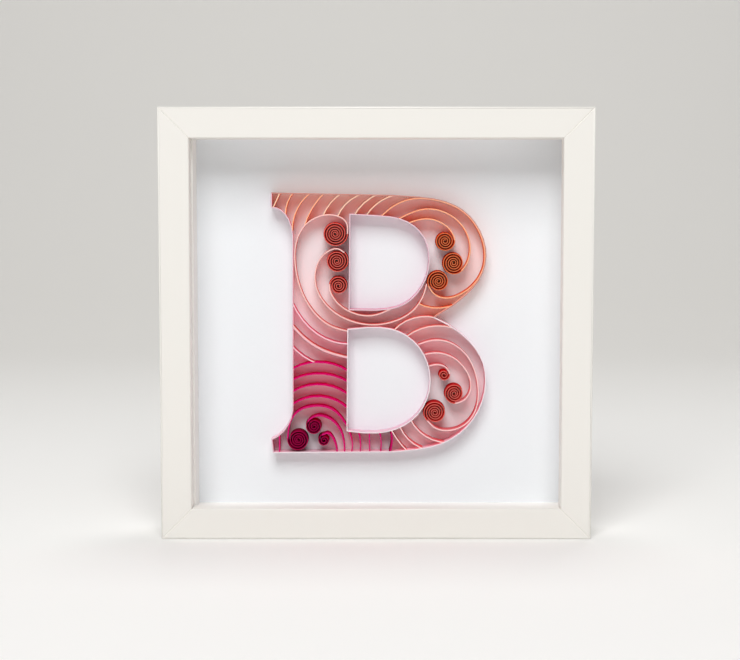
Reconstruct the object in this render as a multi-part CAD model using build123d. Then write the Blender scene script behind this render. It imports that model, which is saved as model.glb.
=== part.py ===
from build123d import *
from math import acos, ceil, cos, pi, radians, sin, sqrt
import os

# A capital letter quilled from paper strips, mounted in a white shadow box frame.
#
# The letter stands on a white card at the back of a deep frame.  White strips on edge wall
# in its outline and its two counters.  Between the walls lie rolled coils whose long tails
# sweep through the letter, with fanned bands, arches and short partitions beside them.
#
# The frame stands upright on its bottom rail.  X runs to the viewer's right, the front
# faces -Y and Z is up.  The origin is on the floor under the middle of the frame.
# Lengths are in millimetres.

# Frame: four mitred rails with a front lip
frame_width = 250.0
frame_height = 250.0
frame_depth = 45.0
rail_face = 18.0
rail_wall = 10.0
lip_thickness = 11.0
outer_arris = 1.2
inner_arris = 0.8

# Chevron nails pressed into the back of the mitres
nail_depth = 10.0
nail_leg = 4.0
nail_spread = 2.2
nail_gauge = 0.4
nail_inset = 5.0

# Spacer strips that hold the card back from the lip
spacer_depth = 22.0
spacer_thickness = 5.5
spacer_play_x = 3.5
spacer_play_z = 2.5

# Card and backboard
card_thickness = 2.0
backboard_thickness = 3.0
board_play = 0.5

# Flexible points that hold the backboard in
point_gauge = 0.6
point_width = 8.0
point_reach = 12.0
point_bite = 6.0
point_nose = 2.5
point_spacing = 120.0

# Sawtooth hanger on the backboard and its two rivets
hanger_length = 44.0
hanger_height = 8.0
hanger_gauge = 0.9
hanger_step = 1.6
hanger_tab = 7.0
hanger_slope = 1.5
hanger_drop = 30.0
tooth_count = 9
tooth_depth = 1.4
rivet_radius = 1.2
rivet_head_radius = 2.3
rivet_head_height = 0.7

# Letter: overall size and place, relative to the middle of the frame
letter_width = 127.2
letter_height = 154.0
letter_shift_x = 1.5
letter_shift_z = -1.0

# Paper strips and coils
strip_height = 10.0
strip_thickness = 0.6
coil_pitch = 1.2
coil_hole = 0.8
coil_loosening = 1.15
coil_sag = 0.2
chord_sag = 0.12
line_samples = 240

# Size of the drawing that the letter's points are given on
drawn_width = 127.2
drawn_height = 154.0

# Planes and edges worked out from the sizes above
pocket_width = frame_width - 2 * rail_wall
pocket_height = frame_height - 2 * rail_wall
front_y = -frame_depth / 2
lip_back_y = front_y + lip_thickness
card_front_y = lip_back_y + spacer_depth
card_back_y = card_front_y + card_thickness
board_back_y = card_back_y + backboard_thickness
letter_left = letter_shift_x - letter_width / 2
letter_bottom = frame_height / 2 + letter_shift_z - letter_height / 2

# Outline of the letter, clockwise from its top left tip: each leg is a line or a curve
OUTLINE = [
    [(0.5, 154.0), (71.8, 152.6)],
    [(71.8, 152.6), (87.6, 151.6), (101.1, 149.5), (114.0, 143.2), (122.8, 132.5),
     (126.9, 117.5), (123.6, 104.3), (115.4, 94.0), (108.7, 88.4)],
    [(108.7, 88.4), (96.8, 80.7)],
    [(96.8, 80.7), (107.3, 75.0), (117.3, 66.8), (124.5, 56.5), (127.1, 43.7),
     (125.0, 30.3), (117.6, 17.3), (104.4, 6.8), (91.0, 2.6), (73.3, 0.5)],
    [(73.3, 0.5), (0.9, 0.0)],
    [(0.9, 0.0), (0.0, 8.3)],
    [(0.0, 8.3), (7.5, 13.7), (11.4, 20.7), (12.6, 29.9)],
    [(12.6, 29.9), (12.9, 123.3)],
    [(12.9, 123.3), (11.7, 135.0), (8.0, 141.8), (0.4, 145.2)],
    [(0.4, 145.2), (0.5, 154.0)],
]
UPPER_COUNTER = [
    [(46.5, 85.5), (47.0, 141.0)],
    [(47.0, 141.0), (67.1, 139.9), (81.8, 135.8), (90.0, 127.5), (93.0, 114.6),
     (88.9, 99.3), (78.4, 88.7), (63.1, 85.3), (46.5, 85.5)],
]
LOWER_COUNTER = [
    [(45.2, 13.5), (45.7, 73.3)],
    [(45.7, 73.3), (58.4, 74.5), (74.9, 72.2), (86.7, 63.4), (93.2, 49.0),
     (92.4, 34.1), (83.9, 20.7), (70.9, 13.7), (58.4, 12.3), (45.2, 13.5)],
]

# The outline wall is three strips that meet at the tips and at the notch of the waist
STEM_SIDE = [(-6.0, 160.5), (6.5, 148.0), (22.0, 140.0), (22.0, 15.0), (6.9, 6.0), (-6.0, -6.9)]
TOP_SIDE = [(-6.0, 160.5), (6.5, 148.0), (22.0, 140.0), (60.0, 80.7), (140.0, 80.7),
            (140.0, 166.0), (-6.0, 166.0)]
BASE_SIDE = [(-6.0, -6.9), (6.9, 6.0), (22.0, 15.0), (60.0, 80.7), (140.0, 80.7), (140.0, -6.9)]

# Coils: centre, radius, angle at which the tail leaves, and the tail's way to its far end.
# The first nine unroll anticlockwise and the three in the base clockwise.
ANTICLOCKWISE = 1
CLOCKWISE = -1
COILS = {
    "stem_coil_1": ((38.0, 129.9), 7.5, 0, ANTICLOCKWISE,
                    [(44.6, 136.4), (37.7, 140.7), (29.5, 140.3), (20.8, 135.3), (15.4, 125.7),
                     (14.4, 113.3), (16.9, 99.8), (24.6, 84.8), (34.8, 75.9), (46.2, 72.3)]),
    "stem_coil_2": ((39.1, 113.8), 6.8, 50, ANTICLOCKWISE,
                    [(39.8, 121.0), (33.4, 119.3), (27.2, 111.2), (26.9, 98.2), (35.4, 85.4),
                     (47.8, 78.4), (59.6, 76.3), (71.3, 77.9), (84.2, 85.1), (90.6, 95.7),
                     (92.0, 101.5)]),
    "stem_coil_3": ((40.0, 99.3), 5.6, 170, ANTICLOCKWISE,
                    [(35.4, 95.2), (39.8, 88.7), (47.8, 83.6), (59.0, 81.7), (72.6, 86.6)]),
    "upper_bowl_coil_1": ((102.5, 125.6), 6.0, 5, ANTICLOCKWISE,
                          [(104.1, 133.6), (92.3, 138.6), (80.4, 136.0)]),
    "upper_bowl_coil_2": ((107.6, 112.7), 6.8, -45, ANTICLOCKWISE,
                          [(116.6, 115.8), (116.2, 128.1), (106.8, 140.0), (92.3, 144.4),
                           (74.2, 138.0)]),
    "upper_bowl_coil_3": ((98.7, 101.9), 6.5, 205, ANTICLOCKWISE,
                          [(96.4, 94.4), (103.7, 92.1), (112.5, 94.8), (119.5, 100.2),
                           (125.6, 107.2)]),
    "lower_bowl_coil_1": ((102.2, 46.6), 3.6, 10, ANTICLOCKWISE,
                          [(102.4, 51.7), (97.4, 52.7), (92.3, 51.6)]),
    "lower_bowl_coil_2": ((108.4, 35.5), 6.0, -85, ANTICLOCKWISE,
                          [(115.2, 32.6), (118.2, 40.1), (115.4, 49.0), (106.8, 57.3),
                           (97.3, 59.7), (90.0, 58.6)]),
    "lower_bowl_coil_3": ((96.9, 24.2), 6.9, 228, ANTICLOCKWISE,
                          [(96.6, 15.3), (104.3, 13.5), (114.1, 16.6), (120.8, 25.2),
                           (122.5, 37.7), (118.9, 52.6), (109.7, 63.6), (97.3, 67.3),
                           (86.0, 64.3)]),
    "base_coil_1": ((15.9, 7.9), 6.5, 175, CLOCKWISE,
                    [(10.6, 16.2), (14.9, 24.0), (25.9, 28.0), (35.9, 26.1), (45.8, 14.6)]),
    "base_coil_2": ((25.4, 15.9), 5.0, 140, CLOCKWISE,
                    [(26.2, 22.0), (34.7, 20.4), (41.3, 12.9), (43.5, -0.3)]),
    "base_coil_3": ((31.3, 7.5), 3.7, 110, CLOCKWISE,
                    [(33.2, 11.8), (36.6, 8.8), (39.1, -0.3)]),
}

# The third bowl coil's tail lies along the rim and ends as the last blade of the fan
RIM_START = (88.0, 160.0)
RIM_END = (140.0, 104.5)
RIM_BLADE = [(64.6, 139.7), (71.5, 145.5), (81.7, 149.9), (95.5, 150.8)]

# Loose strips: the points each one passes through, and how many layers it is glued up of
STRIPS = {
    "fan_strip_1": ([(6.2, 154.8), (1.2, 144.2)], 1),
    "fan_strip_2": ([(14.2, 154.8), (10.3, 148.8), (8.9, 141.0)], 1),
    "fan_strip_3": ([(24.8, 154.6), (16.5, 145.9), (12.9, 131.7)], 1),
    "fan_strip_4": ([(32.6, 154.6), (24.4, 144.7), (19.8, 133.8)], 1),
    "fan_strip_5": ([(42.8, 154.2), (34.6, 147.0), (30.6, 139.6)], 1),
    "fan_strip_6": ([(55.2, 153.6), (44.9, 147.9), (39.3, 139.6)], 1),
    "fan_strip_7": ([(63.7, 153.3), (55.1, 148.0), (48.9, 140.0)], 1),
    "fan_strip_8": ([(73.8, 152.9), (63.0, 147.8), (55.9, 140.0)], 1),
    "bowl_band": ([(85.6, 89.4), (97.2, 86.2), (109.9, 88.8)], 1),
    "stem_band_1": ([(12.3, 90.2), (16.9, 81.8), (25.4, 72.4), (36.0, 66.6), (46.4, 65.0)], 1),
    "stem_band_2": ([(12.2, 76.4), (19.8, 68.5), (31.3, 61.2), (46.4, 56.7)], 2),
    "waist_band_1": ([(72.3, 72.8), (81.9, 79.5), (97.3, 80.5)], 1),
    "waist_band_2": ([(80.1, 69.4), (93.7, 75.3), (111.2, 73.1)], 1),
    "heel_band_1": ([(71.0, 14.0), (74.7, 8.0), (81.6, 0.1)], 1),
    "heel_band_2": ([(76.2, 15.6), (82.1, 7.3), (92.0, 2.0)], 1),
    "heel_band_3": ([(82.4, 20.1), (90.4, 10.7), (104.6, 6.2)], 1),
    "stem_arch_1": ([(12.3, 50.0), (28.9, 54.1), (46.0, 48.5)], 1),
    "stem_band_3": ([(12.2, 64.0), (18.9, 57.9), (27.8, 53.2)], 1),
    "stem_arch_2": ([(12.3, 43.5), (28.9, 47.2), (46.0, 42.2)], 1),
    "stem_arch_3": ([(12.3, 36.4), (27.7, 40.8), (45.7, 34.8)], 1),
    "stem_arch_4": ([(12.3, 28.8), (26.5, 33.7), (45.7, 26.4)], 1),
    "serif_partition": ([(4.8, 12.4), (4.8, -0.4)], 1),
    "base_partition_1": ([(45.5, 14.0), (47.6, 8.4), (47.5, -0.4)], 1),
    "base_partition_2": ([(51.4, 13.6), (52.8, 7.3), (52.6, -0.4)], 1),
    "base_partition_3": ([(58.0, 13.2), (58.4, -0.4)], 1),
    "base_partition_4": ([(63.9, 13.4), (65.1, 7.3), (64.6, -0.4)], 1),
    "base_partition_5": ([(70.4, 14.6), (71.4, 7.3), (69.9, -0.4)], 2),
}


# Lines and strips on the card's face

def spot(u, v):
    """Place a point of the letter's drawing on the card's face."""
    x = letter_left + u * letter_width / drawn_width
    y = letter_bottom + v * letter_height / drawn_height
    return Vector(x, y)


def spots(points):
    """Place a row of points of the letter's drawing on the card's face."""
    return [spot(u, v) for u, v in points]


def smooth_line(places, start=None):
    """Draw a straight line, an arc or a smooth curve through two, three or more places."""
    if start is not None:
        ends = [start, places[-1] - places[-2]]
        return Spline(places, tangents=ends, tangent_scalars=[1, 1])
    if len(places) == 2:
        return Line(places)
    if len(places) == 3:
        return ThreePointArc(places)
    return Spline(places)


def chords(line):
    """Share out places along a smooth line so that its chords sag alike, and no more than allowed.

    Each place comes with the line's heading there.
    """
    steps = [i / line_samples for i in range(line_samples + 1)]
    places = [line @ step for step in steps]
    headings = [line % step for step in steps]
    demand = [0.0]
    for i in range(line_samples):
        length = (places[i + 1] - places[i]).length
        bend = radians(headings[i].get_angle(headings[i + 1]))
        demand.append(demand[-1] + sqrt(length * bend / (8 * chord_sag)))
    count = max(1, ceil(demand[-1] - 0.01))
    chosen = [0]
    for j in range(1, count):
        chosen.append(next(i for i, d in enumerate(demand) if d >= j * demand[-1] / count))
    chosen.append(line_samples)
    return [(places[i], headings[i]) for i in chosen]


def beside(stations, distance):
    """Shift a row of places to the left of their headings."""
    return [place + heading.rotate(Axis.Z, 90) * distance for place, heading in stations]


def polygon(places):
    """Fill a closed row of places."""
    return make_face(Polyline(places, close=True))


def closed_face(legs):
    """Fill a closed outline whose legs are lines and curves."""
    places = []
    for leg in legs:
        places += [place for place, heading in chords(smooth_line(spots(leg)))][:-1]
    return polygon(places)


def resized(face, amount):
    """Grow or shrink a closed face by an amount all round."""
    return offset(face, amount, kind=Kind.INTERSECTION).face()


def strip(places, layers=1):
    """Lay a strip of paper on edge along a line through the places."""
    stations = chords(smooth_line(places))
    half = layers * strip_thickness / 2
    return polygon(beside(stations, half) + beside(stations, -half)[::-1])


def coil_turns(radius, leave_angle, turn):
    """Work out a coil's middle line, from its loose end inwards, as radius and angle.

    Each chord turns as far as the sag allows, so an outer turn has more chords than an
    inner one.
    """
    outer = radius - strip_thickness / 2
    sweep = 2 * pi * (outer - coil_hole) / coil_pitch
    swept = 0.0
    turns = []
    while swept < sweep:
        share = 1 - swept / sweep
        reach = coil_hole + (outer - coil_hole) * share ** coil_loosening
        turns.append((reach, radians(leave_angle) - turn * swept))
        swept += 2 * acos(1 - coil_sag / reach)
    return turns


def coil_with_tail(centre, radius, leave_angle, turn, tail):
    """Roll one end of a strip into a coil and lead the rest of it away as a tail."""
    middle = spot(*centre)
    stations = []
    for reach, angle in coil_turns(radius, leave_angle, turn):
        place = middle + Vector(reach * cos(angle), reach * sin(angle))
        stations.append((place, Vector(-turn * sin(angle), turn * cos(angle))))
    loose_end, away = stations[0]
    stations.reverse()
    stations += chords(smooth_line([loose_end] + spots(tail), start=away))[1:]
    half = strip_thickness / 2
    return polygon(beside(stations, half) + beside(stations, -half)[::-1])


def largest(shape):
    """Keep the largest piece where a cut has left trimmings."""
    return max(shape.faces(), key=lambda face: face.area)


def overlaps(face, other):
    """Say whether two faces' boxes meet."""
    a = face.bounding_box()
    b = other.bounding_box()
    apart_x = a.max.X < b.min.X or b.max.X < a.min.X
    apart_y = a.max.Y < b.min.Y or b.max.Y < a.min.Y
    return not (apart_x or apart_y)


def trim(face, others):
    """Cut a strip back to the faces that it butts against."""
    for other in others:
        if overlaps(face, other):
            face = largest(face - other)
    return face


# Letter

def letter_faces():
    """Draw every strip of the letter, flat on the card, as one face for each."""
    outline = closed_face(OUTLINE)
    upper = closed_face(UPPER_COUNTER)
    lower = closed_face(LOWER_COUNTER)
    within = resized(outline, -strip_thickness)
    upper_room = resized(upper, strip_thickness)
    lower_room = resized(lower, strip_thickness)
    wall = outline - within
    filling = within - upper_room - lower_room

    faces = {
        "stem_edge_strip": largest(wall & polygon(spots(STEM_SIDE))),
        "top_edge_strip": largest(wall & polygon(spots(TOP_SIDE))),
        "base_edge_strip": largest(wall & polygon(spots(BASE_SIDE))),
        "upper_counter_strip": largest(upper_room - upper),
        "lower_counter_strip": largest(lower_room - lower),
    }

    rooms = {name: Pos(*spot(*coil[0])) * Circle(coil[1]) for name, coil in COILS.items()}
    laid = []
    for name, coil in COILS.items():
        face = coil_with_tail(*coil)
        if name == "upper_bowl_coil_3":
            face = face + rim_lining(outline, within) + strip(spots(RIM_BLADE))
        others = [room for other, room in rooms.items() if other != name]
        face = trim(largest(face & filling), others + laid)
        faces[name] = face
        laid.append(face)
    for name, (points, layers) in STRIPS.items():
        face = largest(strip(spots(points), layers) & filling)
        face = trim(face, list(rooms.values()) + laid)
        faces[name] = face
        laid.append(face)
    return faces


def rim_lining(outline, within):
    """Draw the stretch of strip that lies flat against the inside of the upper bowl's rim."""
    inner = resized(outline, -2 * strip_thickness)
    corner = spot(*RIM_START)
    end = spot(*RIM_END)
    stretch = polygon([corner, (end.X, corner.Y), end, (corner.X, end.Y)])
    return (within - inner) & stretch


def letter():
    """Stand every strip of the letter on the card."""
    card_face = Plane.XZ.offset(-card_front_y)
    solids = {}
    for name, face in letter_faces().items():
        solids[name] = card_face.location * extrude(face, strip_height)
    return solids


# Frame

def rail_bar(length):
    """A mitred rail along X, with its outer face at Z = 0 and its lip towards -Y."""
    back_y = frame_depth / 2
    profile = make_face(Polyline(
        (front_y, 0), (front_y, rail_face), (lip_back_y, rail_face),
        (lip_back_y, rail_wall), (back_y, rail_wall), (back_y, 0), close=True))
    front = profile.vertices().group_by(Axis.X)[0].sort_by(Axis.Y)
    profile = fillet(front[0], outer_arris)
    front = profile.vertices().group_by(Axis.X)[0].sort_by(Axis.Y)
    profile = fillet(front[-1], inner_arris)
    bar = extrude(Plane.YZ * profile, length / 2, both=True)
    half = length / 2
    mitred = make_face(Polyline(
        (-half, 0), (half, 0), (half - rail_face, rail_face),
        (rail_face - half, rail_face), close=True))
    return bar & extrude(Plane.XZ * mitred, frame_depth, both=True)


def on_side(angle, reach):
    """Place what is drawn for the bottom side on the side that lies at the angle."""
    return Pos(0, 0, frame_height / 2) * Rot(0, angle, 0) * Pos(0, 0, -reach)


def corner_nail(side_x, side_z):
    """A chevron nail across the mitre of one corner, flush with the rails' backs."""
    corner = Vector(side_x * frame_width / 2, frame_height / 2 + side_z * frame_height / 2)
    along = Vector(-side_x, -side_z).normalized()
    across = along.rotate(Axis.Z, 90)
    tip = nail_gauge * nail_leg / nail_spread
    outer = nail_spread + nail_gauge
    chevron = [(0, 0), (nail_leg, nail_spread), (nail_leg, outer), (-tip, 0),
               (nail_leg, -outer), (nail_leg, -nail_spread)]
    places = [corner + along * (nail_inset + s) + across * n for s, n in chevron]
    back = Plane.XZ.offset(-frame_depth / 2)
    return back.location * extrude(make_face(Polyline(places, close=True)), nail_depth)


def retaining_point(place):
    """A flexible point in the bottom wall that lies on the back of the backboard."""
    half = point_width / 2
    inner = rail_wall + point_reach
    outer = rail_wall - point_bite
    blade = make_face(Polyline(
        (place - half, inner), (place + half, inner), (place + half, outer + point_nose),
        (place + half - point_nose, outer), (place - half + point_nose, outer),
        (place - half, outer + point_nose), close=True))
    board_back = Plane.XZ.offset(-board_back_y)
    return board_back.location * extrude(blade, -point_gauge)


def frame_parts():
    """The four rails, with the seats of the nails and points cut in them."""
    sides = {
        "bottom_rail": (0, frame_height / 2, frame_width),
        "left_rail": (90, frame_width / 2, frame_height),
        "top_rail": (180, frame_height / 2, frame_width),
        "right_rail": (-90, frame_width / 2, frame_height),
    }
    nails = [corner_nail(side_x, side_z) for side_x in (-1, 1) for side_z in (-1, 1)]
    points = []
    solids = {}
    for name, (angle, reach, length) in sides.items():
        place = on_side(angle, reach)
        side_points = [place * retaining_point(side * point_spacing / 2) for side in (-1, 1)]
        solids[name] = place * rail_bar(length) - side_points - nails
        points += side_points
    solids["corner_nails"] = Compound(children=[nail.solid() for nail in nails])
    solids["retaining_points"] = Compound(children=[point.solid() for point in points])
    return solids


def block(low_x, high_x, low_y, high_y, low_z, high_z):
    """A square-edged piece between three pairs of planes."""
    middle = Pos((low_x + high_x) / 2, (low_y + high_y) / 2, (low_z + high_z) / 2)
    return middle * Box(high_x - low_x, high_y - low_y, high_z - low_z)


def spacers():
    """Four strips behind the lip, standing on the bottom wall and pushed to the right."""
    right = pocket_width / 2
    left = right - (pocket_width - spacer_play_x)
    bottom = rail_wall
    top = bottom + pocket_height - spacer_play_z
    inner_left = left + spacer_thickness
    inner_right = right - spacer_thickness
    back = card_front_y
    front = lip_back_y
    return {
        "left_spacer": block(left, inner_left, front, back, bottom, top),
        "right_spacer": block(inner_right, right, front, back, bottom, top),
        "bottom_spacer": block(inner_left, inner_right, front, back,
                               bottom, bottom + spacer_thickness),
        "top_spacer": block(inner_left, inner_right, front, back, top - spacer_thickness, top),
    }


def boards():
    """The card that carries the letter and the hardboard behind it."""
    half = pocket_width / 2 - board_play
    bottom = rail_wall
    top = rail_wall + pocket_height - board_play
    card = block(-half, half, card_front_y, card_back_y, bottom, top)
    backboard = block(-half, half, card_back_y, board_back_y, bottom, top)
    return {"mount_card": card, "backboard": backboard - rivets()}


# Hanger

hanger_z = frame_height - rail_wall - hanger_drop
rivet_x = hanger_length / 2 - hanger_tab / 2


def rivets():
    """Two rivets that clench the hanger's tabs to the backboard."""
    shank = backboard_thickness + hanger_gauge
    facing = Plane.XZ.offset(-card_back_y)
    head_seat = Plane.XZ.offset(-card_back_y - shank)
    middle = hanger_z + hanger_height / 2
    solids = []
    for side in (-1, 1):
        place = Pos(side * rivet_x, middle)
        pin = facing.location * extrude(place * Circle(rivet_radius), -shank)
        head = head_seat.location * extrude(place * Circle(rivet_head_radius), -rivet_head_height)
        solids.append(pin + head)
    return solids


def sawtooth_hanger():
    """A pressed steel hanger: two flat tabs and a raised bar with teeth on its lower edge."""
    half = hanger_length / 2
    bend = half - hanger_tab
    raised = bend - hanger_slope
    front = [(-half, 0), (-bend, 0), (-raised, hanger_step),
             (raised, hanger_step), (bend, 0), (half, 0)]
    back = [(x, y + hanger_gauge) for x, y in reversed(front)]
    plan = Polyline([(x, board_back_y + y) for x, y in front + back], close=True)
    plate = Pos(0, 0, hanger_z) * extrude(make_face(plan), hanger_height)
    pitch = 2 * raised / tooth_count
    teeth = []
    for i in range(tooth_count):
        x = -raised + i * pitch
        notch = Polyline((x, hanger_z), (x + pitch, hanger_z),
                         (x + pitch / 2, hanger_z + tooth_depth), close=True)
        teeth.append(extrude(Plane.XZ * make_face(notch), frame_depth, both=True))
    return plate - teeth - rivets()


def write(solids):
    """Write one file for each piece."""
    os.makedirs("parts", exist_ok=True)
    for name, solid in solids.items():
        export_step(solid, f"parts/{name}.step")


pieces = {}
pieces.update(frame_parts())
pieces.update(spacers())
pieces.update(boards())
pieces["sawtooth_hanger"] = sawtooth_hanger()
pieces["hanger_rivets"] = Compound(children=[rivet.solid() for rivet in rivets()])
pieces.update(letter())
write(pieces)
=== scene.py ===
import logging
import math
from dataclasses import dataclass, field
from enum import Enum

import bmesh
import bpy
import numpy as np
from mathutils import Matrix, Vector


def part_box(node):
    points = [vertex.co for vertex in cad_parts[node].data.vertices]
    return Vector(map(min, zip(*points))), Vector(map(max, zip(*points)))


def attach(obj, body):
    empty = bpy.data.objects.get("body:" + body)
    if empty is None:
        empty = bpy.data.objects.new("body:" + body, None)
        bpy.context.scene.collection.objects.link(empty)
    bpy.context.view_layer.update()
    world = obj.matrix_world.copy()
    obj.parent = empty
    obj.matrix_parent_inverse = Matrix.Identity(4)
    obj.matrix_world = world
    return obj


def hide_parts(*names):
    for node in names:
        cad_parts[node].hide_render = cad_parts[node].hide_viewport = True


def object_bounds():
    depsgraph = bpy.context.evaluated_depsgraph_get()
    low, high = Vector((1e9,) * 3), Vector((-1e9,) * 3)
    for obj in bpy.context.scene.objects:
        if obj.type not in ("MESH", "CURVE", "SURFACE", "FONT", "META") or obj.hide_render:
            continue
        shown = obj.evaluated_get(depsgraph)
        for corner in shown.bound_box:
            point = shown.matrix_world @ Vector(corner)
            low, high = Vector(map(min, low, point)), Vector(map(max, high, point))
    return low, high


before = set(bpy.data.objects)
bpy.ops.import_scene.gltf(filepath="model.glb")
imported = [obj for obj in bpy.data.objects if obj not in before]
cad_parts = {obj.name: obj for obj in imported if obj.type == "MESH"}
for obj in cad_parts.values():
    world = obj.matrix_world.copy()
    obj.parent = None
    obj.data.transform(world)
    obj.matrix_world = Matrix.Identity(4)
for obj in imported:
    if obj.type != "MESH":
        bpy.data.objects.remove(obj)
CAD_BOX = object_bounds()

logger = logging.getLogger("quilled_letter")

MM = 0.001
Point = tuple[float, float]

# The stem's outer strip stands in the lower left corner of the letter's drawing. It gives, in
# millimetres, that corner, the card's front face and how far the paper stands off the card.
STEM_LOW, STEM_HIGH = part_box("stem_edge_strip")
LETTER_LEFT = STEM_LOW[0] / MM
LETTER_BOTTOM = STEM_LOW[2] / MM
CARD_FRONT = STEM_HIGH[1] / MM
STRIP_HEIGHT = (STEM_HIGH[1] - STEM_LOW[1]) / MM

# The space between the points of a drawn line, in millimetres
DRAWN_STEP = 1.0


class Turn(Enum):
    """Which way a coil's tail unrolls, seen from the front."""

    ANTICLOCKWISE = 1
    CLOCKWISE = -1


def linear(code: str) -> tuple[float, float, float, float]:
    """Turn an sRGB hex colour into linear light.

    Args:
        code: Six hex digits after a hash.

    Returns:
        Red, green, blue and alpha.
    """
    channels = [int(code[i:i + 2], 16) / 255 for i in (1, 3, 5)]
    light = [c / 12.92 if c <= 0.04045 else ((c + 0.055) / 1.055) ** 2.4 for c in channels]
    return light[0], light[1], light[2], 1.0


def add_node(tree: bpy.types.NodeTree, kind: str, inputs: dict | None = None,
             **settings: object) -> bpy.types.Node:
    """Add a node with its settings, values and links.

    Args:
        tree: The tree that the node goes into.
        kind: The node's type.
        inputs: A value or another node's output for each socket name or number.
        settings: The node's own properties.

    Returns:
        The new node.
    """
    node = tree.nodes.new(kind)
    for name, value in settings.items():
        setattr(node, name, value)
    for key, value in (inputs or {}).items():
        if isinstance(value, bpy.types.NodeSocket):
            tree.links.new(value, node.inputs[key])
        else:
            node.inputs[key].default_value = value
    return node


def blank_material(name: str) -> tuple[bpy.types.Material, bpy.types.NodeTree]:
    """Make a material with an empty node tree.

    Args:
        name: The material's name.

    Returns:
        The material and its tree.
    """
    material = bpy.data.materials.new(name)
    material.use_nodes = True
    material.node_tree.nodes.clear()
    return material, material.node_tree


def dress(thing: bpy.types.Object, material: bpy.types.Material) -> None:
    """Give an object one material in place of those it has."""
    thing.data.materials.clear()
    thing.data.materials.append(material)


@dataclass(frozen=True)
class FoilWrappedWood:
    """A wooden moulding wrapped in white foil: a smooth satin skin with a faint ripple."""

    name: str = "white foil on wood"
    colour: str = "#F3F0EA"
    roughness: float = 0.42
    ripple_mm: float = 3.0
    ripple_strength: float = 0.06
    ripple_depth_mm: float = 0.1

    def material(self) -> bpy.types.Material:
        """Build the material.

        Returns:
            A satin white with a ripple too shallow to change its shape.
        """
        material, tree = blank_material(self.name)
        place = add_node(tree, "ShaderNodeTexCoord")
        ripple = add_node(tree, "ShaderNodeTexNoise", {
            "Vector": place.outputs["Object"], "Scale": 1 / (self.ripple_mm * MM), "Detail": 2.0})
        bump = add_node(tree, "ShaderNodeBump", {
            "Height": ripple.outputs["Fac"], "Strength": self.ripple_strength,
            "Distance": self.ripple_depth_mm * MM})
        skin = add_node(tree, "ShaderNodeBsdfPrincipled", {
            "Base Color": linear(self.colour), "Roughness": self.roughness,
            "Normal": bump.outputs["Normal"]})
        add_node(tree, "ShaderNodeOutputMaterial", {"Surface": skin.outputs["BSDF"]})
        return material


@dataclass(frozen=True)
class PulpBoard:
    """Paper board, foam board or hardboard: matt, with a soft mottle of its fibres.

    Single fibres are too fine to show, so the mottle is drawn as coarse as their clumps.
    """

    name: str
    colour: str
    speck: str
    fibre_mm: float
    roughness: float = 0.9

    def material(self) -> bpy.types.Material:
        """Build the material.

        Returns:
            A matt board whose colour wanders a little between its two shades.
        """
        material, tree = blank_material(self.name)
        place = add_node(tree, "ShaderNodeTexCoord")
        fibres = add_node(tree, "ShaderNodeTexNoise", {
            "Vector": place.outputs["Object"], "Scale": 1 / (self.fibre_mm * MM), "Detail": 4.0})
        shade = add_node(tree, "ShaderNodeMix", {
            "Factor": fibres.outputs["Fac"], 6: linear(self.colour), 7: linear(self.speck)},
            data_type="RGBA")
        board = add_node(tree, "ShaderNodeBsdfPrincipled", {
            "Base Color": shade.outputs[2], "Roughness": self.roughness})
        add_node(tree, "ShaderNodeOutputMaterial", {"Surface": board.outputs["BSDF"]})
        return material


@dataclass(frozen=True)
class DyedPaper:
    """Dyed quilling paper: matt, and thin enough for light to come through its faces.

    The cut edge that faces forward lets no light through, because there
    the light would have to cross the paper's whole width. Its colour is set apart from the faces'
    colour as painted light and shade: the edge as lit edges look, the faces as shaded gaps look.
    Fibres are finer than the grain drawn here, which is as coarse as it needs to be to show.
    """

    name: str
    face: str
    edge: str
    through: float = 0.9
    roughness: float = 0.85
    gloss: float = 0.05
    fibre_mm: float = 0.5
    grain_strength: float = 0.2
    grain_depth_mm: float = 0.03
    edge_from: float = -0.6
    edge_full: float = -0.9

    def material(self) -> bpy.types.Material:
        """Build the material.

        Returns:
            A paper that scatters light back and through, with its edge colour in front.
        """
        material, tree = blank_material(self.name)
        place = add_node(tree, "ShaderNodeTexCoord")
        split = add_node(tree, "ShaderNodeSeparateXYZ", {"Vector": place.outputs["Normal"]})
        forward = add_node(tree, "ShaderNodeMapRange", {
            "Value": split.outputs["Y"], "From Min": self.edge_from,
            "From Max": self.edge_full, "To Min": 0.0, "To Max": 1.0})
        fibres = add_node(tree, "ShaderNodeTexNoise", {
            "Vector": place.outputs["Object"], "Scale": 1 / (self.fibre_mm * MM), "Detail": 3.0})
        # Painted light and shade: the forward edge takes its own colour, apart from the faces
        painted_light_tint = add_node(tree, "ShaderNodeMix", {
            "Factor": forward.outputs["Result"], 6: linear(self.face), 7: linear(self.edge)},
            data_type="RGBA")
        bump = add_node(tree, "ShaderNodeBump", {
            "Height": fibres.outputs["Fac"], "Strength": self.grain_strength,
            "Distance": self.grain_depth_mm * MM})
        dyed = add_node(tree, "ShaderNodeBsdfPrincipled", {
            "Base Color": painted_light_tint.outputs[2], "Roughness": self.roughness,
            "Specular IOR Level": self.gloss, "Normal": bump.outputs["Normal"]})
        lit = add_node(tree, "ShaderNodeBsdfTranslucent", {"Color": painted_light_tint.outputs[2]})
        thin = add_node(tree, "ShaderNodeMapRange", {
            "Value": forward.outputs["Result"], "To Min": self.through, "To Max": 0.0})
        sheet = add_node(tree, "ShaderNodeMixShader", {
            "Fac": thin.outputs["Result"], 1: dyed.outputs["BSDF"], 2: lit.outputs["BSDF"]})
        add_node(tree, "ShaderNodeOutputMaterial", {"Surface": sheet.outputs["Shader"]})
        return material


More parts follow.
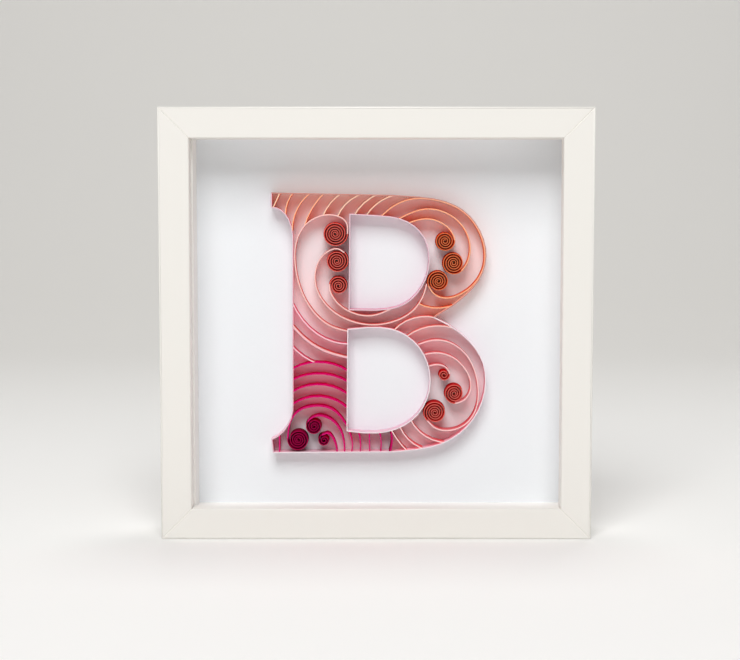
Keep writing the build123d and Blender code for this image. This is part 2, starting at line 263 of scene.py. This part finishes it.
@dataclass(frozen=True)
class PressedSteel:
    """Zinc-plated sheet steel, blanked and pressed: a dull grey metal."""

    name: str = "zinc-plated steel"
    colour: str = "#B9BBBE"
    roughness: float = 0.38

    def material(self) -> bpy.types.Material:
        """Build the material.

        Returns:
            A plain plated metal.
        """
        material, tree = blank_material(self.name)
        metal = add_node(tree, "ShaderNodeBsdfPrincipled", {
            "Base Color": linear(self.colour), "Metallic": 1.0, "Roughness": self.roughness})
        add_node(tree, "ShaderNodeOutputMaterial", {"Surface": metal.outputs["BSDF"]})
        return material


# Foam board and card have a smooth paper skin; hardboard is pressed wood fibre, mottled brown
FOAM_BOARD = PulpBoard("paper-faced foam board", "#FAF8F5", "#F6F3EF", 2.0)
MOUNT_CARD = PulpBoard("white mount card", "#F3F6F9", "#F0F3F6", 1.2)
HARDBOARD = PulpBoard("brown hardboard", "#8E6844", "#6F4E32", 0.8)

# Each paper has a face colour, an edge colour and how much light it lets through. The edge and
# face colours are painted light and shade. The white strips carry painted bounce light: each is
# tinted with the colour of the strips that it stands beside
WHITE_PAPER_PAINTED_APRICOT_BOUNCE = DyedPaper("white quilling paper, painted apricot bounce light", "#FFE4D8", "#CC9088", 0.7)
WHITE_PAPER_PAINTED_ROSE_BOUNCE = DyedPaper("white quilling paper, painted rose bounce light", "#FAD4E0", "#E8C4D0", 0.15)
WHITE_PAPER_PAINTED_MAGENTA_BOUNCE = DyedPaper("white quilling paper, painted magenta bounce light", "#FAD4E2", "#F4E8ED", 0.15)
MAUVE_PAPER = DyedPaper("pale mauve quilling paper", "#F4BCD0", "#E8CCD6", 0.25)
APRICOT_PAPER = DyedPaper("apricot quilling paper", "#FFC09C", "#FFD8BC")
ORANGE_PAPER = DyedPaper("orange quilling paper", "#FFB48C", "#FFBE98")
CORAL_PAPER = DyedPaper("coral quilling paper", "#FFC6C2", "#FFD6D0")
ROSE_PAPER = DyedPaper("rose quilling paper", "#FFBCD0", "#FFD4DC")
SALMON_PAPER = DyedPaper("salmon quilling paper", "#FFC2C6", "#FFDAD8")
MAGENTA_PAPER = DyedPaper("magenta quilling paper", "#F640A6", "#DC1078")
# These three are darker copies of the orange, coral and magenta papers: painted shade of a tight
# roll
ORANGE_PAPER_PAINTED_ROLL_SHADE = DyedPaper("orange quilling paper, painted roll shade", "#E44C1C", "#F48858", 0.5)
CORAL_PAPER_PAINTED_ROLL_SHADE = DyedPaper("coral quilling paper, painted roll shade", "#E43034", "#F0786C", 0.5)
MAGENTA_PAPER_PAINTED_SHADE = DyedPaper("magenta quilling paper, painted shade", "#98003C", "#B80C50", 0.3)


def strip_tree(wave_mm: float = 6.0) -> bpy.types.NodeTree:
    """Build the tree that stands a paper strip on edge along a path.

    Args:
        wave_mm: How long the waves of the front edge's unevenness are, in millimetres.

    Returns:
        A tree whose inputs are the path, the strip's thickness at its front edge and at the
        card, its height, how uneven its front edge is, and its material.
    """
    tree = bpy.data.node_groups.new("strip on edge", "GeometryNodeTree")
    face = tree.interface
    face.new_socket("Path", in_out="INPUT", socket_type="NodeSocketGeometry")
    for name in ("Thickness", "Foot", "Height", "Unevenness", "Card front"):
        face.new_socket(name, in_out="INPUT", socket_type="NodeSocketFloat")
    face.new_socket("Paper", in_out="INPUT", socket_type="NodeSocketMaterial")
    face.new_socket("Strip", in_out="OUTPUT", socket_type="NodeSocketGeometry")
    given = add_node(tree, "NodeGroupInput").outputs
    upright = add_node(tree, "GeometryNodeSetCurveNormal", {"Curve": given["Path"]}, mode="Z_UP")
    section = add_node(tree, "GeometryNodeCurvePrimitiveQuadrilateral", {
        "Top Width": given["Foot"], "Bottom Width": given["Thickness"],
        "Height": given["Height"], "Offset": 0.0}, mode="TRAPEZOID")
    band = add_node(tree, "GeometryNodeCurveToMesh", {
        "Curve": upright.outputs["Curve"], "Profile Curve": section.outputs["Curve"],
        "Fill Caps": True})
    place = add_node(tree, "GeometryNodeInputPosition")
    parts = add_node(tree, "ShaderNodeSeparateXYZ", {"Vector": place.outputs["Position"]})
    front = add_node(tree, "FunctionNodeCompare", {
        "A": parts.outputs["Z"], "B": 0.0}, operation="GREATER_THAN")
    ripple = add_node(tree, "ShaderNodeTexNoise", {
        "Vector": place.outputs["Position"], "Scale": 1 / (wave_mm * MM),
        "Detail": 1.0})
    centred = add_node(tree, "ShaderNodeMath", {
        0: ripple.outputs["Fac"], 1: -1.0}, operation="ADD")
    lift = add_node(tree, "ShaderNodeMath", {
        0: centred.outputs["Value"], 1: given["Unevenness"]}, operation="MULTIPLY")
    up = add_node(tree, "ShaderNodeCombineXYZ", {"Z": lift.outputs["Value"]})
    uneven = add_node(tree, "GeometryNodeSetPosition", {
        "Geometry": band.outputs["Mesh"], "Selection": front.outputs["Result"],
        "Offset": up.outputs["Vector"]})
    half = add_node(tree, "ShaderNodeMath", {
        0: given["Height"], 1: 0.5}, operation="MULTIPLY")
    depth = add_node(tree, "ShaderNodeMath", {
        0: given["Card front"], 1: half.outputs["Value"]}, operation="SUBTRACT")
    seat = add_node(tree, "ShaderNodeCombineXYZ", {"Y": depth.outputs["Value"]})
    stand = add_node(tree, "GeometryNodeTransform", {
        "Geometry": uneven.outputs["Geometry"], "Translation": seat.outputs["Vector"],
        "Rotation": (math.pi / 2, 0.0, 0.0)})
    real = add_node(tree, "GeometryNodeRealizeInstances", {
        "Geometry": stand.outputs["Geometry"]})
    dyed = add_node(tree, "GeometryNodeSetMaterial", {
        "Geometry": real.outputs["Geometry"], "Material": given["Paper"]})
    add_node(tree, "NodeGroupOutput", {"Strip": dyed.outputs["Geometry"]})
    return tree


def smooth_line(points: list[Point], step: float, start: Point | None = None) -> np.ndarray:
    """Draw a cubic curve through points, with its knots spaced as the points are.

    Args:
        points: Places on the letter's drawing, in millimetres.
        step: How far apart the drawn points are, in millimetres.
        start: The direction in which the curve sets off, or None to leave it free.

    Returns:
        The drawn points, one row for each.
    """
    knots = np.array(points, float)
    gaps = np.linalg.norm(np.diff(knots, axis=0), axis=1)
    count = len(knots)
    system = np.zeros((count, count))
    wanted = np.zeros((count, 2))
    system[0, :2] = (1, 0) if start else (2, 1)
    wanted[0] = start if start else 3 * (knots[1] - knots[0]) / gaps[0]
    system[-1, -2:] = (1, 2)
    wanted[-1] = 3 * (knots[-1] - knots[-2]) / gaps[-1]
    for i in range(1, count - 1):
        before, after = gaps[i - 1], gaps[i]
        system[i, i - 1:i + 2] = (after, 2 * (before + after), before)
        rise_before = (knots[i] - knots[i - 1]) / before
        rise_after = (knots[i + 1] - knots[i]) / after
        wanted[i] = 3 * (after * rise_before + before * rise_after)
    slopes = np.linalg.solve(system, wanted)
    drawn = [knots[:1]]
    for i, gap in enumerate(gaps):
        t = np.linspace(0, 1, max(2, round(gap / step)) + 1)[1:, None]
        drawn.append((2 * t**3 - 3 * t**2 + 1) * knots[i] + (t**3 - 2 * t**2 + t) * gap * slopes[i]
                     + (3 * t**2 - 2 * t**3) * knots[i + 1] + (t**3 - t**2) * gap * slopes[i + 1])
    return np.vstack(drawn)


def beside(line: np.ndarray, distance: float) -> np.ndarray:
    """Shift a drawn line sideways.

    Args:
        line: Points of the line.
        distance: How far to its left, in millimetres.

    Returns:
        The points of the shifted line.
    """
    heading = np.gradient(line, axis=0)
    heading /= np.linalg.norm(heading, axis=1)[:, None]
    return line + distance * np.stack([-heading[:, 1], heading[:, 0]], axis=1)


def shortened(line: np.ndarray, head: float, tail: float) -> np.ndarray:
    """Cut a length off each end of a drawn line.

    Args:
        line: Points of the line.
        head: The length to cut off its start, in millimetres.
        tail: The length to cut off its end, in millimetres.

    Returns:
        The points that are left, with the cut ends in place.
    """
    run = np.concatenate([[0], np.cumsum(np.linalg.norm(np.diff(line, axis=0), axis=1))])
    kept = run[(run > head) & (run < run[-1] - tail)]
    marks = np.concatenate([[head], kept, [run[-1] - tail]])
    return np.stack([np.interp(marks, run, line[:, 0]), np.interp(marks, run, line[:, 1])], axis=1)


@dataclass
class StripMaker:
    """Turns drawn lines into strips of paper that stand on the card."""

    unevenness: float = 0.12
    tree: bpy.types.NodeTree = field(default_factory=strip_tree)

    def make(self, name: str, lines: list[np.ndarray], thickness: float,
             paper: bpy.types.Material, foot: float | None = None) -> bpy.types.Object:
        """Stand strips along drawn lines, as one piece.

        Args:
            name: The piece's name.
            lines: Points on the letter's drawing for each strip.
            thickness: The paper's thickness at its front edge, in millimetres.
            paper: The strips' material.
            foot: How thick it looks at the card, or None for the same all the way down.

        Returns:
            The finished piece, with its modifier applied.
        """
        curve = bpy.data.curves.new(name, "CURVE")
        curve.dimensions = "3D"
        for line in lines:
            spline = curve.splines.new("POLY")
            spline.points.add(len(line) - 1)
            for point, (u, v) in zip(spline.points, line):
                point.co = ((LETTER_LEFT + u) * MM, (LETTER_BOTTOM + v) * MM, 0.0, 1.0)
        drawn = bpy.data.objects.new(name + "_path", curve)
        bpy.context.collection.objects.link(drawn)
        modifier = drawn.modifiers.new("strip", "NODES")
        modifier.node_group = self.tree
        values = {"Thickness": thickness * MM, "Foot": (foot or thickness) * MM,
                  "Height": STRIP_HEIGHT * MM, "Unevenness": self.unevenness * MM,
                  "Card front": CARD_FRONT * MM, "Paper": paper}
        for item in self.tree.interface.items_tree:
            if item.in_out == "INPUT" and item.name in values:
                modifier[item.identifier] = values[item.name]
        graph = bpy.context.evaluated_depsgraph_get()
        mesh = bpy.data.meshes.new_from_object(drawn.evaluated_get(graph))
        piece = bpy.data.objects.new(name, mesh)
        bpy.context.collection.objects.link(piece)
        bpy.data.objects.remove(drawn)
        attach(piece, "root")
        return piece


@dataclass
class RolledStrip:
    """A strip rolled into a coil at one end, with the rest let out as a tail.

    The coil has fewer turns than a real one. Its paper is thicker at the card than in front, so
    that the gaps between them show coloured paper, as a tight roll does, and not the card. The
    coil's paper is a darker copy of the tail's paper: painted shade for the depth of a tight roll.
    """

    node: str
    centre: Point
    radius: float
    leave_angle: float
    turn: Turn
    tail: list[Point]
    shaded_roll_paper: DyedPaper
    tail_paper: DyedPaper
    slot: str
    pitch: float = 1.3
    hole: float = 0.7
    roll_thickness: float = 0.42
    roll_foot: float = 1.1
    tail_thickness: float = 0.75
    loosening: float = 1.2
    trim: float = 1.1
    points_per_turn: int = 30

    def roll(self) -> np.ndarray:
        """Draw the coil's middle line from its eye to where the tail leaves.

        Returns:
            Points on the letter's drawing.
        """
        reach = self.radius - self.roll_thickness / 2
        turns = (reach - self.hole) / self.pitch
        share = np.linspace(0, 1, round(turns * self.points_per_turn))
        radii = self.hole + (reach - self.hole) * share ** self.loosening
        swept = (1 - share) * turns * 2 * math.pi
        angles = math.radians(self.leave_angle) - self.turn.value * swept
        return np.stack([self.centre[0] + radii * np.cos(angles),
                         self.centre[1] + radii * np.sin(angles)], axis=1)

    def let_out(self, start: Point) -> np.ndarray:
        """Draw the tail's middle line, with a little cut off the end that meets a wall.

        Args:
            start: Where the tail leaves the coil.

        Returns:
            Points on the letter's drawing.
        """
        end = math.radians(self.leave_angle)
        away = (-self.turn.value * math.sin(end), self.turn.value * math.cos(end))
        return shortened(smooth_line([start] + self.tail, DRAWN_STEP, away), 0.0, self.trim)

    def build(self, maker: StripMaker) -> None:
        """Make the coil and the tail and let them stand for their solid.

        Args:
            maker: What makes strips from lines.
        """
        roll = self.roll()
        coil = maker.make(self.node + "_roll", [roll], self.roll_thickness,
                          self.shaded_roll_paper.material(), self.roll_foot)
        tail = maker.make(self.node + "_tail", [self.let_out(tuple(roll[-1]))],
                          self.tail_thickness, self.tail_paper.material())
        for piece in (coil, tail):
            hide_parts(self.node)
        logger.info("rolled %s: %d faces", self.node, len(coil.data.polygons))


@dataclass
class DoubledStrip:
    """Two strips of different papers glued face to face."""

    node: str
    points: list[Point]
    left: DyedPaper
    right: DyedPaper
    slot: str
    thickness: float = 0.58
    spread: float = 0.3
    trim: float = 1.15

    def build(self, maker: StripMaker) -> None:
        """Make both layers and let them stand for the solid.

        Args:
            maker: What makes strips from lines.
        """
        middle = smooth_line(self.points, DRAWN_STEP)
        sides = (("left", self.spread, self.left), ("right", -self.spread, self.right))
        for name, aside, finish in sides:
            line = shortened(beside(middle, aside), self.trim, self.trim)
            piece = maker.make(f"{self.node}_{name}_layer", [line], self.thickness,
                               finish.material())
            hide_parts(self.node)
        logger.info("doubled %s", self.node)


@dataclass
class Letter:
    """The quilled letter: white walls, loose strips and rolled coils."""

    walls: dict[str, DyedPaper] = field(default_factory=lambda: {
        "stem_edge_strip": WHITE_PAPER_PAINTED_ROSE_BOUNCE, "top_edge_strip": WHITE_PAPER_PAINTED_APRICOT_BOUNCE,
        "base_edge_strip": WHITE_PAPER_PAINTED_MAGENTA_BOUNCE, "upper_counter_strip": MAUVE_PAPER,
        "lower_counter_strip": WHITE_PAPER_PAINTED_MAGENTA_BOUNCE})
    loose: dict[str, DyedPaper] = field(default_factory=lambda: {
        "fan_strip_1": APRICOT_PAPER, "fan_strip_2": ORANGE_PAPER, "fan_strip_3": ORANGE_PAPER,
        "fan_strip_4": ORANGE_PAPER, "fan_strip_5": APRICOT_PAPER, "fan_strip_6": APRICOT_PAPER,
        "fan_strip_7": APRICOT_PAPER, "fan_strip_8": APRICOT_PAPER, "bowl_band": ORANGE_PAPER,
        "stem_band_1": ROSE_PAPER, "stem_band_3": ROSE_PAPER, "waist_band_1": CORAL_PAPER,
        "waist_band_2": CORAL_PAPER, "heel_band_1": SALMON_PAPER,
        "heel_band_2": SALMON_PAPER, "heel_band_3": SALMON_PAPER,
        "stem_arch_1": MAGENTA_PAPER, "stem_arch_2": MAGENTA_PAPER,
        "stem_arch_3": MAGENTA_PAPER, "stem_arch_4": MAGENTA_PAPER,
        "serif_partition": MAGENTA_PAPER, "base_partition_1": MAGENTA_PAPER,
        "base_partition_2": MAGENTA_PAPER, "base_partition_3": MAGENTA_PAPER,
        "base_partition_4": MAGENTA_PAPER})

    def rolls(self) -> list[RolledStrip]:
        """List the rolled strips.

        Returns:
            One for each coil.
        """
        left, right = Turn.ANTICLOCKWISE, Turn.CLOCKWISE
        return [
            RolledStrip("stem_coil_1", (38.0, 129.9), 7.5, 0, left,
                        [(44.6, 136.4), (37.7, 140.7), (29.5, 140.3), (20.8, 135.3),
                         (15.4, 125.7), (14.4, 113.3), (16.9, 99.8), (24.6, 84.8),
                         (34.8, 75.9), (46.2, 72.3)], CORAL_PAPER_PAINTED_ROLL_SHADE, CORAL_PAPER, "coral_paper"),
            RolledStrip("stem_coil_2", (39.1, 113.8), 6.8, 50, left,
                        [(39.8, 121.0), (33.4, 119.3), (27.2, 111.2), (26.9, 98.2),
                         (35.4, 85.4), (47.8, 78.4), (59.6, 76.3), (71.3, 77.9), (84.2, 85.1),
                         (90.6, 95.7), (92.0, 101.5)], CORAL_PAPER_PAINTED_ROLL_SHADE, CORAL_PAPER, "coral_paper"),
            RolledStrip("stem_coil_3", (40.0, 99.3), 5.6, 170, left,
                        [(35.4, 95.2), (39.8, 88.7), (47.8, 83.6), (59.0, 81.7), (72.6, 86.6)],
                        CORAL_PAPER_PAINTED_ROLL_SHADE, CORAL_PAPER, "coral_paper"),
            RolledStrip("upper_bowl_coil_1", (102.5, 125.6), 6.0, 5, left,
                        [(104.1, 133.6), (92.3, 138.6), (80.4, 136.0)],
                        ORANGE_PAPER_PAINTED_ROLL_SHADE, ORANGE_PAPER, "orange_paper"),
            RolledStrip("upper_bowl_coil_2", (107.6, 112.7), 6.8, -45, left,
                        [(116.6, 115.8), (116.2, 128.1), (106.8, 140.0), (92.3, 144.4),
                         (74.2, 138.0)], ORANGE_PAPER_PAINTED_ROLL_SHADE, ORANGE_PAPER, "orange_paper"),
            RolledStrip("upper_bowl_coil_3", (98.7, 101.9), 6.5, 205, left,
                        [(96.4, 94.4), (103.7, 92.1), (112.5, 94.8), (119.5, 100.2),
                         (123.3, 105.6), (125.5, 111.6), (126.0, 117.4), (122.1, 132.0),
                         (113.5, 142.5), (101.0, 148.6), (95.5, 149.9), (81.7, 149.9),
                         (71.5, 145.5), (64.6, 139.7)], ORANGE_PAPER_PAINTED_ROLL_SHADE, ORANGE_PAPER, "orange_paper"),
            RolledStrip("lower_bowl_coil_1", (102.2, 46.6), 3.6, 10, left,
                        [(102.4, 51.7), (97.4, 52.7), (92.3, 51.6)],
                        CORAL_PAPER_PAINTED_ROLL_SHADE, SALMON_PAPER, "coral_paper"),
            RolledStrip("lower_bowl_coil_2", (108.4, 35.5), 6.0, -85, left,
                        [(115.2, 32.6), (118.2, 40.1), (115.4, 49.0), (106.8, 57.3),
                         (97.3, 59.7), (90.0, 58.6)], CORAL_PAPER_PAINTED_ROLL_SHADE, SALMON_PAPER, "coral_paper"),
            RolledStrip("lower_bowl_coil_3", (96.9, 24.2), 6.9, 228, left,
                        [(96.6, 15.3), (104.3, 13.5), (114.1, 16.6), (120.8, 25.2),
                         (122.5, 37.7), (118.9, 52.6), (109.7, 63.6), (97.3, 67.3),
                         (86.0, 64.3)], CORAL_PAPER_PAINTED_ROLL_SHADE, SALMON_PAPER, "coral_paper"),
            RolledStrip("base_coil_1", (15.9, 7.9), 6.5, 175, right,
                        [(10.6, 16.2), (14.9, 24.0), (25.9, 28.0), (35.9, 26.1), (45.8, 14.6)],
                        MAGENTA_PAPER_PAINTED_SHADE, MAGENTA_PAPER, "magenta_paper"),
            RolledStrip("base_coil_2", (25.4, 15.9), 5.0, 140, right,
                        [(26.2, 22.0), (34.7, 20.4), (41.3, 12.9), (43.5, -0.3)],
                        MAGENTA_PAPER_PAINTED_SHADE, MAGENTA_PAPER, "magenta_paper"),
            RolledStrip("base_coil_3", (31.3, 7.5), 3.7, 110, right,
                        [(33.2, 11.8), (36.6, 8.8), (39.1, -0.3)],
                        MAGENTA_PAPER_PAINTED_SHADE, MAGENTA_PAPER, "magenta_paper"),
        ]

    def doubles(self) -> list[DoubledStrip]:
        """List the doubled strips.

        Returns:
            The band in the stem and the last partition under the lower counter.
        """
        return [
            DoubledStrip("stem_band_2", [(12.2, 76.4), (19.8, 68.5), (31.3, 61.2), (46.4, 56.7)],
                         CORAL_PAPER, ROSE_PAPER, "coral_paper"),
            DoubledStrip("base_partition_5", [(70.8, 13.4), (71.4, 7.3), (69.9, -0.4)],
                         MAGENTA_PAPER, MAGENTA_PAPER_PAINTED_SHADE, "magenta_paper"),
        ]

    def build(self) -> None:
        """Dress the solid strips and roll the coils."""
        solid = self.walls | self.loose
        made = {finish: finish.material() for finish in dict.fromkeys(solid.values())}
        for node, finish in solid.items():
            dress(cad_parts[node], made[finish])
        maker = StripMaker()
        for piece in self.rolls() + self.doubles():
            piece.build(maker)
        logger.info("letter: %d loose strips", len(self.loose))


@dataclass
class BoxFrame:
    """The white box frame, its spacers, boards and hardware."""

    rails: tuple[str, ...] = ("bottom_rail", "left_rail", "top_rail", "right_rail")
    spacers: tuple[str, ...] = ("left_spacer", "right_spacer", "bottom_spacer", "top_spacer")
    hardware: tuple[str, ...] = ("corner_nails", "retaining_points", "sawtooth_hanger",
                                 "hanger_rivets")
    middle_z: float = (CAD_BOX[0][2] + CAD_BOX[1][2]) / 2 / MM
    nails_from: float = 10.0
    joint_bevel: float = 0.35
    weld: float = 0.001
    on_plane: float = 0.01
    flat_angle: float = 0.002
    corner_angle: float = 0.3

    def ease_mitres(self, rail: str, paint: bpy.types.Material) -> None:
        """Break the arrises of a rail's mitres, so that each joint shows as a fine line.

        Args:
            rail: The rail's node.
            paint: The rail's material.
        """
        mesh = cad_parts[rail].data.copy()
        shape = bmesh.new()
        shape.from_mesh(mesh)
        bmesh.ops.remove_doubles(shape, verts=shape.verts, dist=self.weld * MM)
        bmesh.ops.dissolve_limit(shape, angle_limit=self.flat_angle, verts=shape.verts,
                                 edges=shape.edges)

        def on_mitre(place: Vector) -> bool:
            """Say whether a point lies in a mitre's plane, clear of the nails."""
            off = abs(place.x) - abs(place.z - self.middle_z * MM)
            return abs(off) < self.on_plane * MM and place.y < self.nails_from * MM

        edges = [edge for edge in shape.edges
                 if all(on_mitre(vert.co) for vert in edge.verts) and len(edge.link_faces) == 2
                 and edge.calc_face_angle() > self.corner_angle]
        bmesh.ops.bevel(shape, geom=edges, offset=self.joint_bevel * MM, segments=1,
                        affect="EDGES", clamp_overlap=True)
        shape.to_mesh(mesh)
        shape.free()
        piece = bpy.data.objects.new(rail + "_eased", mesh)
        bpy.context.collection.objects.link(piece)
        dress(piece, paint)
        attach(piece, "root")
        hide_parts(rail)

    def build(self) -> None:
        """Dress the frame's pieces."""
        paint = FoilWrappedWood().material()
        for rail in self.rails:
            self.ease_mitres(rail, paint)
        foam = FOAM_BOARD.material()
        for node in self.spacers:
            dress(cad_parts[node], foam)
        card = MOUNT_CARD.material()
        dress(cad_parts["mount_card"], card)
        board = HARDBOARD.material()
        dress(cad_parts["backboard"], board)
        steel = PressedSteel().material()
        for node in self.hardware:
            dress(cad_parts[node], steel)
        logger.info("frame dressed")


@dataclass(frozen=True)
class Softbox:
    """A square soft light, with its places and side in metres and its power in watts."""

    name: str
    place: tuple[float, float, float]
    aim: tuple[float, float, float]
    side: float
    power: float

    def hang(self) -> None:
        """Hang the light and point it at its aim."""
        lamp = bpy.data.lights.new(self.name, "AREA")
        lamp.size = self.side
        lamp.energy = self.power
        thing = bpy.data.objects.new(self.name, lamp)
        thing.location = self.place
        ray = Vector(self.aim) - Vector(self.place)
        thing.rotation_euler = ray.to_track_quat("-Z", "Y").to_euler()
        bpy.context.collection.objects.link(thing)


@dataclass
class Stage:
    """The pale floor and backdrop, the lights and the camera."""

    camera_place: tuple[float, float, float] = (-3.61, -1007.5, 208.83)
    look_down: float = 5.02
    lens: float = 83.54
    sensor: float = 36.0
    softboxes: tuple[Softbox, ...] = (
        Softbox("softbox above", (-0.2, -2.1, 2.3), (0.0, 0.0, 0.12), 1.7, 70.0),
        Softbox("softbox behind", (0.1, 0.55, 2.3), (0.0, -0.15, 0.0), 0.8, 13.0))
    floor_colour: str = "#FBFAF8"
    backdrop_painted_shade_colour: str = "#F2F0EC"
    painted_shade_from: float = 300.0
    painted_shade_full: float = 1300.0
    room_light: float = 0.11
    room_seen: float = 0.8
    backdrop_y: float = 1900.0
    sweep: float = 900.0
    sweep_steps: int = 16
    half_width: float = 4000.0
    front_y: float = -4000.0
    height: float = 3600.0

    def floor(self) -> None:
        """Lay a floor that sweeps up into a backdrop, with painted shade that darkens it towards
        the back.
        """
        profile = [(self.front_y, 0.0), (self.backdrop_y - self.sweep, 0.0)]
        for i in range(1, self.sweep_steps + 1):
            angle = i / self.sweep_steps * math.pi / 2
            profile.append((self.backdrop_y - self.sweep + self.sweep * math.sin(angle),
                            self.sweep * (1 - math.cos(angle))))
        profile.append((self.backdrop_y, self.height))
        verts = [(side * self.half_width * MM, y * MM, z * MM)
                 for y, z in profile for side in (-1, 1)]
        faces = [(2 * i, 2 * i + 1, 2 * i + 3, 2 * i + 2) for i in range(len(profile) - 1)]
        mesh = bpy.data.meshes.new("floor")
        mesh.from_pydata(verts, [], faces)
        for face in mesh.polygons:
            face.use_smooth = True
        floor = bpy.data.objects.new("floor", mesh)
        bpy.context.collection.objects.link(floor)
        material, tree = blank_material("pale paper sweep with painted shade")
        place = add_node(tree, "ShaderNodeTexCoord")
        parts = add_node(tree, "ShaderNodeSeparateXYZ", {"Vector": place.outputs["Object"]})
        # Painted shade: the colour darkens from the floor's towards the backdrop's as the sweep
        # runs back
        depth = add_node(tree, "ShaderNodeMapRange", {
            "Value": parts.outputs["Y"], "From Min": self.painted_shade_from * MM,
            "From Max": self.painted_shade_full * MM})
        shade = add_node(tree, "ShaderNodeMix", {
            "Factor": depth.outputs["Result"], 6: linear(self.floor_colour),
            7: linear(self.backdrop_painted_shade_colour)}, data_type="RGBA")
        matt = add_node(tree, "ShaderNodeBsdfDiffuse", {"Color": shade.outputs[2]})
        add_node(tree, "ShaderNodeOutputMaterial", {"Surface": matt.outputs["BSDF"]})
        dress(floor, material)

    def room(self) -> None:
        """Fill the room with weak light, and show it pale behind the edge of the floor."""
        world = bpy.data.worlds.new("room")
        world.use_nodes = True
        tree = world.node_tree
        tree.nodes.clear()
        path = add_node(tree, "ShaderNodeLightPath").outputs
        shiny = add_node(tree, "ShaderNodeMath", {
            0: path["Is Glossy Ray"], 1: path["Is Transmission Ray"]}, operation="MAXIMUM")
        seen = add_node(tree, "ShaderNodeMath", {
            0: path["Is Camera Ray"], 1: shiny.outputs["Value"]}, operation="MAXIMUM")
        strength = add_node(tree, "ShaderNodeMapRange", {
            "Value": seen.outputs["Value"], "To Min": self.room_light, "To Max": self.room_seen})
        sky = add_node(tree, "ShaderNodeBackground", {
            "Color": linear("#FFFFFF"), "Strength": strength.outputs["Result"]})
        add_node(tree, "ShaderNodeOutputWorld", {"Surface": sky.outputs["Background"]})
        bpy.context.scene.world = world

    def build(self) -> None:
        """Set the stage."""
        self.floor()
        for softbox in self.softboxes:
            softbox.hang()
        self.room()
        camera = bpy.data.cameras.new("camera")
        camera.sensor_width = self.sensor
        camera.lens = self.lens
        thing = bpy.data.objects.new("camera", camera)
        thing.location = [value * MM for value in self.camera_place]
        thing.rotation_euler = (math.radians(90 - self.look_down), 0.0, 0.0)
        bpy.context.collection.objects.link(thing)
        bpy.context.scene.camera = thing
        logger.info("stage set")


def main() -> None:
    """Build the looks in order."""
    logging.basicConfig(level=logging.INFO)
    bpy.context.scene.view_settings.view_transform = "Standard"
    BoxFrame().build()
    Letter().build()
    Stage().build()


if __name__ == "__main__":
    main()
